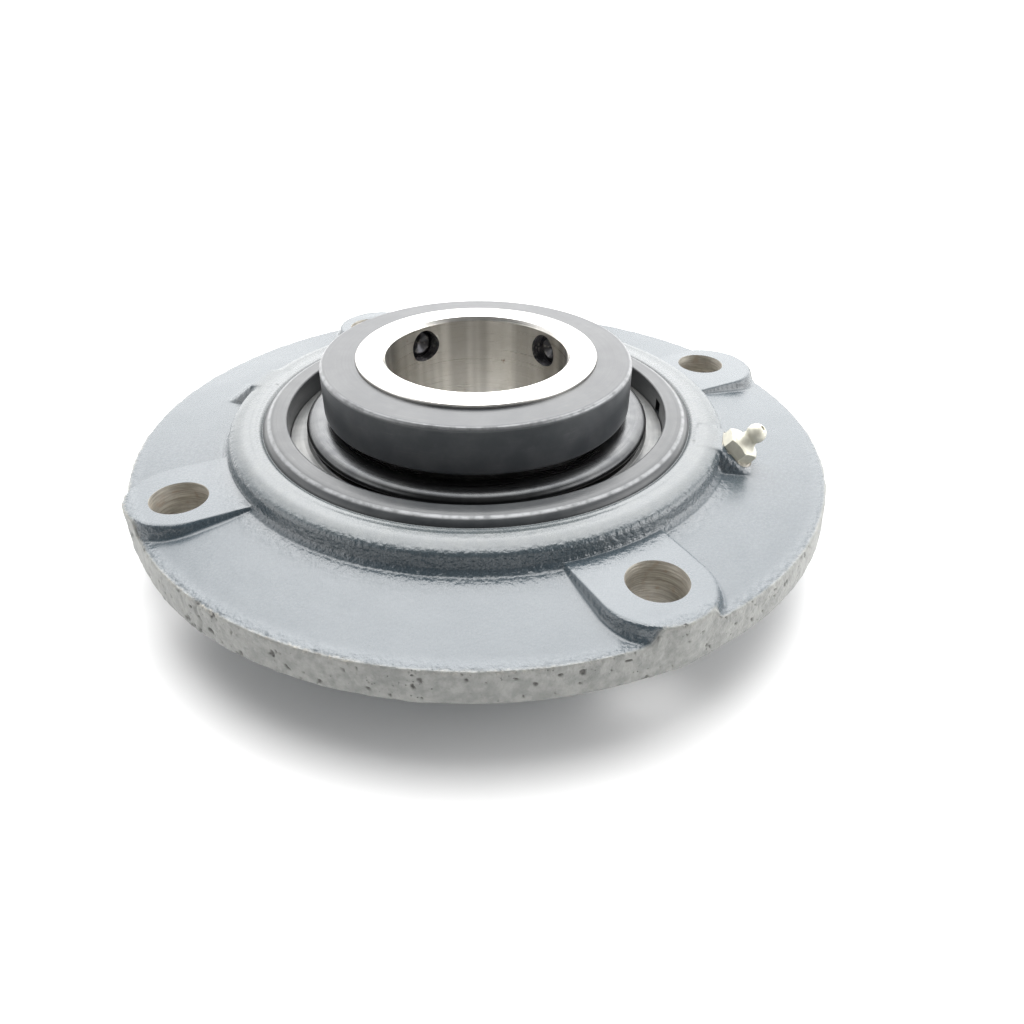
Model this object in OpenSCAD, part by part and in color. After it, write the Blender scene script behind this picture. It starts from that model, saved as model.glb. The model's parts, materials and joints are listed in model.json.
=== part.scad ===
// Flange mount bearing: a round iron flange with a pilot, holding a self-aligning ball bearing insert.
// Millimetres. The origin is the centre of the shaft bore in the plane of the flange's back face.
// +Z runs along the bore towards the nose, where the locking collar is.

/* [Shaft and inner ring] */
// Diameter of the shaft bore
shaft_d = 61.912; // [60:0.001:62.5]
// Outside diameter of the inner ring where the collar sits
ring_neck_d = 81.6; // [80:0.1:82]
// Height of the inner ring's top face above the back face
ring_top_z = 42.3; // [42:0.1:46]
// Height of the inner ring's bottom face, below the back face
ring_bottom_z = -20; // [-20.4:0.1:-18]

/* [Locking collar] */
// Outside diameter of the locking collar
collar_d = 105.6; // [102:0.1:110]
// Height of the collar's lower face above the back face
collar_bottom_z = 24.85; // [24:0.05:26]
// Length of the collar along the bore
collar_l = 16.25; // [15:0.05:17]
// Thread diameter of a set screw
set_screw_d = 11.08; // [10:0.01:11.5]
// Length of a set screw
set_screw_l = 16; // [14:0.1:17]
// Distance from the bore's axis to the point of a set screw
set_screw_tip_r = 34; // [33:0.1:35]
// Direction of the first set screw, seen from the nose
set_screw_deg = 37.7; // [0:0.1:90]
// Angle between the two set screws
set_screw_spread_deg = 90; // [60:1:120]

/* [Outer ring] */
// Diameter of the outer ring's ball-shaped outside
insert_d = 151.86; // [151.8:0.01:151.9]
// Width of the outer ring along the bore
insert_w = 41.8; // [41:0.1:42]
// Height of the middle of the insert above the back face
insert_z = 2.5; // [2:0.1:3]
// Diameter of the deep recess at each end of the outer ring
recess_d = 130.8; // [130:0.1:132]

/* [Balls and cage] */
// Number of balls
ball_count = 10;
// Diameter of a ball
ball_d = 19.05; // [18.5:0.05:19.05]
// Diameter of the circle through the balls' centres
pitch_d = 108; // [108:0.1:108.4]
// Direction of the first ball
first_ball_deg = 9; // [0:1:36]
// Thickness of the cage's pressed sheet
cage_t = 1.4; // [1:0.1:1.5]
// Width of the cage's ribbon, measured along a radius
cage_w = 6.8; // [6:0.1:7.2]

/* [Flange] */
// Diameter of the flange at its front edge
flange_d = 238.12; // [236:0.01:242]
// Thickness of the flange at its rim
rim_t = 10.5; // [9:0.1:12]
// Thickness of the flange at the foot of the hub
foot_t = 14.1; // [13:0.1:14.8]
// Diameter of the pilot behind the flange
pilot_d = 165.1; // [164:0.1:168]
// Length of the pilot behind the flange
pilot_l = 22.2; // [21.6:0.1:26]
// Height of the hub's front face above the back face
hub_z = 21.7; // [21:0.1:22]
// Clearance on the radius between the outer ring and its seat
seat_gap = 0.07; // [0.05:0.01:0.1]

/* [Bolt holes] */
// Diameter of the bolt circle
bolt_circle_d = 206.38; // [204:0.01:208]
// Diameter of a bolt hole
bolt_hole_d = 17.46; // [16:0.01:18]
// Number of bolt holes
bolt_count = 4;
// Direction of the first bolt hole
first_bolt_deg = 27.2; // [0:0.1:45]
// Width of the raised pad around a bolt hole
pad_w = 34.8; // [32:0.1:36]
// Height of a pad's top above the back face
pad_t = 15.4; // [15:0.1:16]
// How far the cast pads are turned from the drilled holes, against the first hole's direction
pad_shift_deg = 1.45; // [0:0.05:2]

/* [Grease fitting] */
// Direction of the grease fitting, midway between two bolt holes
fitting_deg = -17.8; // [-20:0.1:-15]
// Angle of the fitting's axis away from the bore's axis
fitting_tilt = 38.3; // [36:0.1:40]
// Distance from the bore's axis to the foot of the fitting
fitting_r = 89.7; // [89:0.1:90]
// Height of the foot of the fitting above the back face
fitting_z = 17.8; // [17.5:0.1:18]
// Width of the fitting's hexagon across its flats
fitting_hex = 11.11; // [11:0.01:11.2]
// Diameter of the fitting's ball head
fitting_head_d = 6.5; // [6.3:0.1:6.6]

/* [Hidden] */
$fn = 96;
eps = 0.01;
// Air that a cut runs past the face that it breaks through
past = 1;

// Flange and hub
pilot_r = pilot_d / 2;
rim_r = flange_d / 2;
rim_draft = 0.8;
rim_chamfer = 0.9;
back_chamfer = 1;
// Foot fillet and nose rounding of the hub
foot_r = 88.6;
foot_fillet_r = 3.6;
nose_r = 80;
nose_round_r = 4.6;
nose_bore_r = 74.9;
seat_r = insert_d / 2 + seat_gap;
// Two slots at the back let the outer ring enter edge-on
slot_w = 43;
slot_relief = 0.2;
// Grease groove around the seat
groove_low_z = -8.6;
groove_high_z = 3.4;
groove_r = 77.5;

// Bosses beside the hub: one is tapped for the grease fitting, its twin is left plain
boss_w = 16;
boss_turns = [0, 180];
boss_root_r = 78;
boss_foot_z = 12;
boss_top_z = 21.3;
boss_slope = tan(fitting_tilt);
boss_top_r = fitting_r - (boss_top_z - fitting_z) / boss_slope;
boss_foot_r = fitting_r + (fitting_z - boss_foot_z) / boss_slope;

// Inner ring
bore_r = shaft_d / 2;
neck_r = ring_neck_d / 2;
flinger_seat_r = 46.5;
inner_land_r = 48.6;
land_half = 14.5;
bore_top_chamfer = 1.3;
bore_bottom_chamfer = 0.8;
edge_chamfer = 0.8;

// Outer ring
insert_r = insert_d / 2;
insert_half = insert_w / 2;
recess_r = recess_d / 2;
outer_land_r = 59.4;
seal_floor = 11.9;
recess_chamfer = 0.6;
edge_round_r = 1.5;
edge_round_at = 71.9;
lube_hole_r = 1.3;
lube_hole_z = -4.6;
lube_hole_turns = [fitting_deg, fitting_deg + 180];
pry_notch_deg = 3;
pry_notch_w = 5;
pry_notch_depth = 1.6;
pry_notch_h = 4.6;

// Balls run in grooves a little wider than the ball
ball_r = ball_d / 2;
pitch_r = pitch_d / 2;
race_r = 0.52 * ball_d;
race_gap = 0.02;
outer_race_at = pitch_r + ball_r + race_gap - race_r;
inner_race_at = pitch_r - ball_r - race_gap + race_r;
ball_step = 360 / ball_count;
pocket_r = ball_r + 0.28;
pocket_shell_r = pocket_r + 1.15;
rivet_r = 1.2;
rivet_hole_r = 1.25;
rivet_head_r = 2.2;
rivet_head_h = 0.9;

// Set screws
screw_r = set_screw_d / 2;
screw_hole_r = screw_r + 0.06;
screw_z = collar_bottom_z + collar_l * 0.545;
screw_socket = 5.56;
screw_socket_l = 7;
screw_cup_r = 3.6;
screw_cup_l = 1.4;
screw_chamfer = 0.7;

// Alignment pin, on the side opposite to +X
pin_deg = 180;
pin_r = 2.5;
pin_gap = 0.05;
pin_end_r = 81.7;
pin_neck_at = 76.3;
pin_tongue_at = 73.5;
pin_tongue_w = 4;
pin_tongue_h = 4.6;
pin_slot_floor = 73.2;
pin_slot_h = 10.8;

// Grease fitting, measured along its own axis from the foot of the hexagon
shank_r = 5.1;
shank_l = 8;
shank_gap = 0.05;
drill_r = 1.6;
drill_l = 24;
hex_h = 4.2;
spot_r = 7.2;
neck_end = 6.4;
fitting_neck_r = 2.25;
head_r = fitting_head_d / 2;
head_at = 9.04;
head_flat = 11.95;
inlet_r = 0.9;
valve_bore_r = 1.75;
valve_floor = -7;
valve_exit_r = 1.1;
valve_cone_low = 9.2;
valve_cone_high = 10.2;
check_r = 1.5;
check_at = 8.91;
spring_wire_r = 0.22;
spring_coil_r = 1.2;
spring_turns = 8;
spring_steps = 12;
spring_sides = 6;
spring_low = valve_floor + spring_wire_r + 0.05;
spring_high = check_at - check_r + spring_wire_r - 0.12;

// Points of an arc, for a turned outline
function arc(x, y, r, from, to, steps = 8) = [
    for (i = [0:steps]) [x + r * cos(from + (to - from) * i / steps), y + r * sin(from + (to - from) * i / steps)]
];

// Mirrors an outline across the middle of the insert
function flipped(points) = [for (p = points) [p[0], 2 * insert_z - p[1]]];

module turned(points) {
    rotate_extrude($fn = 180) polygon(points);
}

module at_fitting() {
    rotate([0, 0, fitting_deg]) translate([fitting_r, 0, fitting_z]) rotate([0, fitting_tilt, 0]) children();
}

module at_screw(deg) {
    rotate([0, 0, deg]) translate([0, 0, screw_z]) rotate([0, 90, 0]) children();
}

module at_pin() {
    rotate([0, 0, pin_deg]) translate([0, 0, insert_z]) rotate([0, 90, 0]) children();
}

module at_ball(i) {
    rotate([0, 0, first_ball_deg + i * ball_step]) translate([pitch_r, 0, insert_z]) children();
}

module flange_and_hub() {
    turned(concat(
        [
            [nose_bore_r - 15, -pilot_l],
            [pilot_r - back_chamfer, -pilot_l],
            [pilot_r, -pilot_l + back_chamfer],
            [pilot_r, 0],
            [rim_r + rim_draft - back_chamfer, 0],
            [rim_r + rim_draft, back_chamfer],
            [rim_r, rim_t - rim_chamfer],
            [rim_r - rim_chamfer, rim_t]
        ],
        arc(foot_r, foot_t + foot_fillet_r, foot_fillet_r, 270, 205),
        arc(nose_r, hub_z - nose_round_r, nose_round_r, 20, 90),
        [[nose_bore_r - 15, hub_z]]
    ));
}

module bolt_pad() {
    linear_extrude(pad_t) {
        translate([bolt_circle_d / 2, 0]) circle(d = pad_w);
        translate([nose_r, -pad_w / 2]) square([bolt_circle_d / 2 - nose_r, pad_w]);
    }
}

module hub_boss() {
    rotate([90, 0, 0]) linear_extrude(boss_w, center = true) polygon([
        [boss_root_r, boss_foot_z],
        [boss_foot_r, boss_foot_z],
        [boss_top_r, boss_top_z],
        [boss_root_r, boss_top_z]
    ]);
}

module insert_seat() {
    translate([0, 0, insert_z]) sphere(r = seat_r, $fn = 180);
    translate([0, 0, hub_z - past]) cylinder(r1 = nose_bore_r - past, r2 = nose_bore_r + past, h = 2 * past);
    turned([
        [groove_r - 8, groove_low_z],
        [groove_r, groove_low_z],
        [groove_r, groove_high_z],
        [groove_r - 8, groove_high_z]
    ]);
    intersection() {
        translate([0, 0, -pilot_l - past]) cylinder(r = seat_r + slot_relief, h = pilot_l + past + insert_z);
        translate([-slot_w / 2, -rim_r, -pilot_l - past]) cube([slot_w, 2 * rim_r, pilot_l + past + insert_z]);
    }
}

module housing() {
    color([0.72, 0.76, 0.78])
    difference() {
        union() {
            flange_and_hub();
            for (i = [0:bolt_count - 1])
                rotate([0, 0, first_bolt_deg - pad_shift_deg + i * 360 / bolt_count]) bolt_pad();
            for (turn = boss_turns) rotate([0, 0, fitting_deg + turn]) hub_boss();
        }
        insert_seat();
        for (i = [0:bolt_count - 1])
            rotate([0, 0, first_bolt_deg + i * 360 / bolt_count])
                translate([bolt_circle_d / 2, 0, -past])
                    cylinder(d = bolt_hole_d, h = pad_t + 2 * past);
        at_fitting() {
            translate([0, 0, -drill_l]) cylinder(r = drill_r, h = drill_l);
            translate([0, 0, -shank_l - past]) cylinder(r = shank_r + shank_gap, h = shank_l + 2 * past);
            cylinder(r = spot_r, h = hex_h);
        }
        at_pin() translate([0, 0, outer_land_r]) cylinder(r = pin_r + pin_gap, h = pin_end_r + 0.3 - outer_land_r);
    }
}

module alignment_pin() {
    color([0.62, 0.62, 0.62])
    at_pin() {
        translate([0, 0, pin_neck_at]) cylinder(r = pin_r, h = pin_end_r - pin_neck_at);
        intersection() {
            translate([0, 0, pin_tongue_at]) cylinder(r = pin_r, h = pin_neck_at - pin_tongue_at);
            translate([-pin_tongue_h / 2, -pin_tongue_w / 2, pin_tongue_at])
                cube([pin_tongue_h, pin_tongue_w, pin_neck_at - pin_tongue_at]);
        }
    }
}

module outer_ring_blank() {
    upper = concat(
        [[recess_r, insert_z + seal_floor], [recess_r, insert_z + insert_half - recess_chamfer]],
        [[recess_r + recess_chamfer, insert_z + insert_half]],
        arc(edge_round_at, insert_z + insert_half - edge_round_r, edge_round_r, 90, 0),
        [[insert_r + 3, insert_z + insert_half - edge_round_r - 2]]
    );
    lower = flipped([for (i = [len(upper) - 1:-1:0]) upper[i]]);
    intersection() {
        translate([0, 0, insert_z]) sphere(r = insert_r, $fn = 180);
        turned(concat(
            [[outer_land_r, insert_z - seal_floor], [outer_land_r, insert_z + seal_floor]],
            upper,
            lower
        ));
    }
}

module outer_ring() {
    color([0.16, 0.17, 0.18])
    difference() {
        outer_ring_blank();
        translate([0, 0, insert_z]) rotate_extrude($fn = 180) translate([outer_race_at, 0]) circle(r = race_r);
        for (turn = lube_hole_turns)
            rotate([0, 0, turn]) translate([outer_land_r - past, 0, lube_hole_z]) rotate([0, 90, 0])
                cylinder(r = lube_hole_r, h = insert_r - outer_land_r + 2 * past);
        at_pin() translate([-pin_slot_h / 2, -pin_tongue_w / 2 - pin_gap, pin_slot_floor])
            cube([pin_slot_h, pin_tongue_w + 2 * pin_gap, insert_r]);
        rotate([0, 0, pry_notch_deg]) translate([recess_r - past, -pry_notch_w / 2, insert_z + seal_floor + 1.6])
            cube([pry_notch_depth + past, pry_notch_w, pry_notch_h]);
    }
}

module inner_ring() {
    color([0.8, 0.79, 0.77])
    difference() {
        turned([
            [bore_r, ring_bottom_z + bore_bottom_chamfer],
            [bore_r + bore_bottom_chamfer, ring_bottom_z],
            [flinger_seat_r - edge_chamfer, ring_bottom_z],
            [flinger_seat_r, ring_bottom_z + edge_chamfer],
            [flinger_seat_r, insert_z - land_half],
            [inner_land_r, insert_z - land_half],
            [inner_land_r, insert_z + land_half],
            [flinger_seat_r, insert_z + land_half],
            [flinger_seat_r, collar_bottom_z],
            [neck_r, collar_bottom_z],
            [neck_r, ring_top_z - edge_chamfer],
            [neck_r - edge_chamfer, ring_top_z],
            [bore_r + bore_top_chamfer, ring_top_z],
            [bore_r, ring_top_z - bore_top_chamfer]
        ]);
        translate([0, 0, insert_z]) rotate_extrude($fn = 180) translate([inner_race_at, 0]) circle(r = race_r);
        for (i = [0:1]) at_screw(set_screw_deg + i * set_screw_spread_deg) cylinder(r = screw_hole_r, h = collar_d);
    }
}

module locking_collar() {
    collar_r = collar_d / 2;
    collar_top_z = collar_bottom_z + collar_l;
    bevel = 1;
    bore_gap = 0.03;
    inside_r = neck_r + bore_gap;
    color([0.14, 0.14, 0.15])
    difference() {
        turned([
            [inside_r + bevel / 2, collar_bottom_z],
            [collar_r - bevel, collar_bottom_z],
            [collar_r, collar_bottom_z + bevel],
            [collar_r, collar_top_z - bevel],
            [collar_r - bevel, collar_top_z],
            [inside_r + bevel / 2, collar_top_z],
            [inside_r, collar_top_z - bevel / 2],
            [inside_r, collar_bottom_z + bevel / 2]
        ]);
        for (i = [0:1]) at_screw(set_screw_deg + i * set_screw_spread_deg) cylinder(r = screw_hole_r, h = collar_d);
    }
}

module set_screw(deg) {
    tail = set_screw_tip_r + set_screw_l;
    color([0.12, 0.12, 0.13])
    at_screw(deg) difference() {
        turned([
            [0, set_screw_tip_r],
            [screw_r - 1.5 * screw_chamfer, set_screw_tip_r],
            [screw_r, set_screw_tip_r + 1.5 * screw_chamfer],
            [screw_r, tail - screw_chamfer],
            [screw_r - screw_chamfer, tail],
            [0, tail]
        ]);
        translate([0, 0, set_screw_tip_r - eps]) cylinder(r1 = screw_cup_r, r2 = 1, h = screw_cup_l);
        translate([0, 0, tail - screw_socket_l]) cylinder(d = screw_socket / cos(30), h = screw_socket_l + past, $fn = 6);
    }
}

module set_screw_a() {
    set_screw(set_screw_deg);
}

module set_screw_b() {
    set_screw(set_screw_deg + set_screw_spread_deg);
}

module ball(i) {
    color([0.85, 0.86, 0.88]) at_ball(i) sphere(r = ball_r);
}

// One pressed half of the cage: a flat ribbon with a round pocket over each ball
module cage_half() {
    difference() {
        intersection() {
            turned([
                [pitch_r - cage_w / 2, insert_z],
                [pitch_r + cage_w / 2, insert_z],
                [pitch_r + cage_w / 2, insert_z + pocket_shell_r + past],
                [pitch_r - cage_w / 2, insert_z + pocket_shell_r + past]
            ]);
            union() {
                translate([0, 0, insert_z - past]) cylinder(r = pitch_r + cage_w, h = cage_t + past);
                for (i = [0:ball_count - 1]) at_ball(i) sphere(r = pocket_shell_r);
            }
        }
        for (i = [0:ball_count - 1]) at_ball(i) sphere(r = pocket_r);
        for (i = [0:ball_count - 1]) at_ball(i + 0.5) translate([0, 0, -past]) cylinder(r = rivet_hole_r, h = cage_t + 2 * past);
    }
}

module cage_upper() {
    color([0.7, 0.66, 0.58]) cage_half();
}

module cage_lower() {
    color([0.7, 0.66, 0.58]) translate([0, 0, 2 * insert_z]) mirror([0, 0, 1]) cage_half();
}

module cage_rivets() {
    color([0.6, 0.6, 0.6])
    for (i = [0:ball_count - 1]) at_ball(i + 0.5) rotate_extrude($fn = 32) polygon([
        [0, -cage_t - rivet_head_h],
        [rivet_head_r / 2, -cage_t - rivet_head_h],
        [rivet_head_r, -cage_t - rivet_head_h / 3],
        [rivet_head_r, -cage_t],
        [rivet_r, -cage_t],
        [rivet_r, cage_t],
        [rivet_head_r, cage_t],
        [rivet_head_r, cage_t + rivet_head_h / 3],
        [rivet_head_r / 2, cage_t + rivet_head_h],
        [0, cage_t + rivet_head_h]
    ]);
}

// Seal outlines are drawn for the upper end of the insert and mirrored for the lower one
seal_z = insert_z + seal_floor + 0.05;
seal_case_points = [
    [51.6, seal_z + 0.75],
    [58.2, seal_z + 0.75],
    [59.2, seal_z],
    [recess_r - 0.05, seal_z],
    [recess_r - 0.05, seal_z + 1.3],
    [59.7, seal_z + 1.3],
    [58.7, seal_z + 2.05],
    [51.6, seal_z + 2.05]
];
seal_lip_points = [
    [51.6, seal_z + 0.75],
    [51.6, seal_z + 2.05],
    [50.2, seal_z + 2.05],
    [49.3, seal_z + 2.4],
    [inner_land_r + 0.08, seal_z + 2.2],
    [inner_land_r + 0.08, seal_z + 1.7],
    [49.8, seal_z + 0.75]
];
flinger_z = insert_z + land_half;
flinger_points = [
    [flinger_seat_r, flinger_z],
    [48.1, flinger_z],
    [48.1, flinger_z + 3],
    [48.8, flinger_z + 3.6],
    [56.8, flinger_z + 3],
    [57.6, flinger_z + 1.8],
    [58.4, flinger_z + 1.4],
    [59, flinger_z + 1.4],
    [59.4, flinger_z + 1.9],
    [59.4, flinger_z + 2.6],
    [58.9, flinger_z + 3.6],
    [57.8, flinger_z + 4.3],
    [56, flinger_z + 4.8],
    [53, flinger_z + 5.1],
    [flinger_seat_r, flinger_z + 5.2]
];

module upper_seal_case() {
    color([0.45, 0.46, 0.47]) turned(seal_case_points);
}

module upper_seal_lip() {
    color([0.1, 0.1, 0.1]) turned(seal_lip_points);
}

module lower_seal_case() {
    color([0.45, 0.46, 0.47]) turned(flipped(seal_case_points));
}

module lower_seal_lip() {
    color([0.1, 0.1, 0.1]) turned(flipped(seal_lip_points));
}

module upper_flinger() {
    color([0.25, 0.26, 0.27]) turned(flinger_points);
}

module lower_flinger() {
    color([0.25, 0.26, 0.27]) turned(flipped(flinger_points));
}

module grease_fitting() {
    color([0.9, 0.88, 0.8])
    at_fitting() difference() {
        union() {
            translate([0, 0, -shank_l]) cylinder(r = shank_r, h = shank_l);
            cylinder(d = fitting_hex / cos(30), h = hex_h, $fn = 6);
            cylinder(r = fitting_neck_r, h = head_at);
            translate([0, 0, hex_h]) cylinder(r1 = head_r, r2 = fitting_neck_r, h = neck_end - hex_h);
            intersection() {
                translate([0, 0, head_at]) sphere(r = head_r, $fn = 48);
                cylinder(r = head_r + past, h = head_flat);
            }
        }
        translate([0, 0, valve_floor]) cylinder(r = valve_bore_r, h = valve_cone_low - valve_floor);
        translate([0, 0, valve_cone_low]) cylinder(r1 = valve_bore_r, r2 = inlet_r, h = valve_cone_high - valve_cone_low);
        translate([0, 0, valve_cone_high - eps]) cylinder(r = inlet_r, h = head_r);
        translate([0, 0, -shank_l - past]) cylinder(r = valve_exit_r, h = shank_l + past);
    }
}

module grease_check_ball() {
    color([0.6, 0.6, 0.62]) at_fitting() translate([0, 0, check_at]) sphere(r = check_r, $fn = 48);
}

// Ring of wire number i along the spring, as points around the coil
function spring_ring(i) = [
    for (j = [0:spring_sides - 1])
        let (
            turn = 360 * i / spring_steps,
            side = 360 * j / spring_sides,
            rise = (spring_high - spring_low) * i / (spring_turns * spring_steps),
            r = spring_coil_r + spring_wire_r * cos(side)
        )
        [r * cos(turn), r * sin(turn), spring_low + rise + spring_wire_r * sin(side)]
];

module grease_check_spring() {
    rings = spring_turns * spring_steps;
    last = rings * spring_sides;
    points = [for (i = [0:rings]) each spring_ring(i)];
    walls = [
        for (i = [0:rings - 1])
            for (j = [0:spring_sides - 1])
                let (a = i * spring_sides, b = a + spring_sides, k = (j + 1) % spring_sides)
                each [[a + j, b + j, b + k], [a + j, b + k, a + k]]
    ];
    start_cap = [[for (j = [0:spring_sides - 1]) j]];
    end_cap = [[for (j = [spring_sides - 1:-1:0]) last + j]];
    color([0.55, 0.55, 0.56]) at_fitting() polyhedron(points, concat(walls, start_cap, end_cap));
}

housing();
alignment_pin();
outer_ring();
inner_ring();
ball(0);  // ball_01
ball(1);  // ball_02
ball(2);  // ball_03
ball(3);  // ball_04
ball(4);  // ball_05
ball(5);  // ball_06
ball(6);  // ball_07
ball(7);  // ball_08
ball(8);  // ball_09
ball(9);  // ball_10
cage_upper();
cage_lower();
cage_rivets();
upper_seal_case();
upper_seal_lip();
lower_seal_case();
lower_seal_lip();
upper_flinger();
lower_flinger();
locking_collar();
set_screw_a();
set_screw_b();
grease_fitting();
grease_check_ball();
grease_check_spring();
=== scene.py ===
import itertools
import json
import math

import bmesh
import bpy
import numpy as np
from mathutils import Matrix, Vector


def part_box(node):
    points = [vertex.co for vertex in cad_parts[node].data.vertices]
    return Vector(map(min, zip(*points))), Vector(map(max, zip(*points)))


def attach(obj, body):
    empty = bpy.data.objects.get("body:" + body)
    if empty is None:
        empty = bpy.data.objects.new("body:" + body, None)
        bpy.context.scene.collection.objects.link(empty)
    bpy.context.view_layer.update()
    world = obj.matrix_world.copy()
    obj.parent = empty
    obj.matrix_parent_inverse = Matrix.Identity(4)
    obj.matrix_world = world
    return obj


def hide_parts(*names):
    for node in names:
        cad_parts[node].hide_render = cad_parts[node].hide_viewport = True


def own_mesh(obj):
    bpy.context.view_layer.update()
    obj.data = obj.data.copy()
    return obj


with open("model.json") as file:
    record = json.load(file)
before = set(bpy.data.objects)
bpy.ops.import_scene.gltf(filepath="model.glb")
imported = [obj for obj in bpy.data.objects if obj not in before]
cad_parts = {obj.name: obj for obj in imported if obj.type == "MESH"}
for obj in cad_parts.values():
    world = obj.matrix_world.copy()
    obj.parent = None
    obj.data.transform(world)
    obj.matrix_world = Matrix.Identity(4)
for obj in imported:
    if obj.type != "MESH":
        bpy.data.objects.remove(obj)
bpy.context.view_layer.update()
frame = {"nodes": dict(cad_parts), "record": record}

# ---------------------------------------------------------------- sizes, in millimetres, from the frame
MM = 0.001


def span(node):
    """Lowest and highest corner of a CAD node, in millimetres."""
    low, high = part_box(node)
    return low / MM, high / MM


def mount(name):
    """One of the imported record's mounts."""
    return next(m for m in frame["record"]["mounts"] if m["name"] == name)


HOUSING_LOW = span("housing")[0]
OUTER_LOW, OUTER_HIGH = span("outer_ring")
INNER_LOW, INNER_HIGH = span("inner_ring")
COLLAR_LOW, COLLAR_HIGH = span("locking_collar")
FLINGER_LOW = span("upper_flinger")[0]
SEAL_LOW = span("upper_seal_case")[0]

BORE_R = mount("shaft_bore")["dims"]["r_mm"]
BOLT_R = mount("flange_bolts")["dims"]["pcd_mm"] / 2
BOLT_HOLE_R = mount("flange_bolts")["dims"]["hole_r_mm"]
BOLT_COUNT = mount("flange_bolts")["dims"]["count"]
BOLT_STEP = 360 / BOLT_COUNT
PILOT_R = mount("pilot")["dims"]["r_mm"]

# Housing: the cast outline sits CAST_OFFSET beside the drilled holes, its pads PAD_SHIFT degrees back
BOLT_TURN = 27.2
CAST_OFFSET = 1.2
PAD_SHIFT = 1.4
PAD_HALF = 17.1
PAD_Z = 15.4
PAD_FILLET = 2.0
WALL_SLOPE = 3.6
WALL_LEAN = math.atan(WALL_SLOPE)
RIM_R = 119.06
RIM_Z = 10.5
RIM_DRAFT = 0.8
RIM_ROUND = 0.7
BACK_ROUND = 0.9
BACK_Z = 0.0
FOOT_R = 88.6
FOOT_Z = 14.1
FOOT_FILLET = 3.2
NOSE_R = 80.0
NOSE_BORE_R = 74.9
HUB_Z = 21.7
# Shoulder of the hub: radius, and how many degrees it falls there
SHOULDER = [(79.4, 0), (80.4, 7), (81.4, 13), (82.4, 18), (83.4, 25), (84.2, 36), (84.8, 50), (85.3, 66)]
PILOT_Z = HOUSING_LOW.z
PILOT_ROUND = 1.2
MID_Z = (OUTER_LOW.z + OUTER_HIGH.z) / 2
INSERT_R = 75.93
SEAT_R = INSERT_R + 0.07
SLOT_HALF = 21.5
SLOT_R = SEAT_R + 0.2
# Where the rim is most chipped, and where a crack runs down its side, in degrees
CHIPPED_TURN = -143.0
CRACK_TURN = -130.0
# Columns round the casting's mesh, and the spacing of its rows across the flange
COLUMNS = 1800
ROW_STEP = 0.4

# Grease fitting and the two bosses
FITTING_TURN = -17.8
FITTING_TILT = 38.3
FITTING_R = 89.7
HEXAGON_TURN = 12.0
FITTING_Z = 17.8
BOSS_HALF = 8.0
BOSS_TOP_Z = 21.3
HEXAGON_HALF = 5.555
HEXAGON_TOP = 4.2
HEAD_R = 3.25
HEAD_Z = 9.04
SPRING_R = 1.2
SPRING_WIRE_R = 0.22
SPRING_TURNS = 8

# Insert
RECESS_R = 65.4
SEAL_FLOOR = 11.9
OUTER_LAND_R = 59.4
INNER_LAND_R = 48.6
FLINGER_SEAT_R = 46.5
NECK_R = 40.8
LAND_HALF = 14.5
COLLAR_R = COLLAR_HIGH.x
BALL_R = 9.525
PITCH_R = 54.0
RACE_R = 1.04 * BALL_R
BALL_GAP = 0.02
PRY_TURN = 3.0

# Set screws
SCREW_TURNS = {"set_screw_a": 37.7, "set_screw_b": 127.7}
SCREW_Z = COLLAR_LOW.z + 8.85625
SCREW_R = 5.54
SCREW_HOLE_R = 5.6
SCREW_TIP = 34.0
SCREW_TAIL = 50.0
SCREW_PITCH = 1.27
SOCKET_R = 3.21

# Camera, in metres and degrees
CAMERA_AT = Vector((0.0, -0.2569, 0.1520))
CAMERA_YAW = 2.80
CAMERA_PITCH = -34.46
CAMERA_ROLL = 0.54
CAMERA_LENS = 28.32

# Fineness of turned pieces: steps round the axis and in a rounding, longest stretch, and sharp edges
TURN_SEGMENTS = 288
RING_SEGMENTS = 360
THREAD_SEGMENTS = 64
ARC_STEPS = 5
LONGEST_STRETCH = 2.5
SHARP_ANGLE = 40

# Studio light over an even glow: direction towards it, degrees of full light and of its end, radiance
AMBIENT = 0.10
BACKDROP = 1.2
FLOOR_REACH = 14.0
LIGHTS = [
    ((0.03, 0.53, 0.85), 5, 48, 6.7),
    ((-0.05, 0.98, 0.26), 8, 45, 1.6),
    ((-0.55, 0.8, 0.12), 5, 30, 1.5),
    ((0.6, 0.8, 0.12), 5, 30, 1.8),
    ((-0.95, 0.28, 0.12), 15, 52, 1.6),
    ((0.95, 0.28, 0.12), 15, 52, 2.2),
    ((-0.9, -0.3, 0.3), 8, 32, 1.2),
    ((0.9, -0.2, 0.3), 8, 34, 3.4),
    ((0.0, -0.86, -0.5), 10, 60, 0.7),
]


# ---------------------------------------------------------------- noise for displaced surfaces
NOISE_TABLE = 8192
NOISE_PRIMES = np.array((73856093, 19349663, 83492791))


def value_noise(points, scale, seed):
    """Smooth noise from -1 to 1 at points in millimetres, with features about scale millimetres wide."""
    table = np.random.default_rng(seed).random(NOISE_TABLE) * 2 - 1
    p = points / scale
    cell = np.floor(p).astype(np.int64)
    f = p - cell
    f = f * f * f * (f * (f * 6 - 15) + 10)
    total = np.zeros(points.shape[:-1])
    for corner in itertools.product((0, 1), repeat=3):
        key = np.bitwise_xor.reduce((cell + corner) * NOISE_PRIMES, axis=-1)
        weight = np.where(corner, f, 1 - f).prod(axis=-1)
        total += weight * table[key & (NOISE_TABLE - 1)]
    return total


def layered_noise(points, scale, seed, octaves=4):
    """Several sizes of value noise, each half as wide and half as strong as the one before."""
    total = 0
    for i in range(octaves):
        total = total + value_noise(points, scale / 2**i, seed + i) / 2**i
    return total / 1.6


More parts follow.
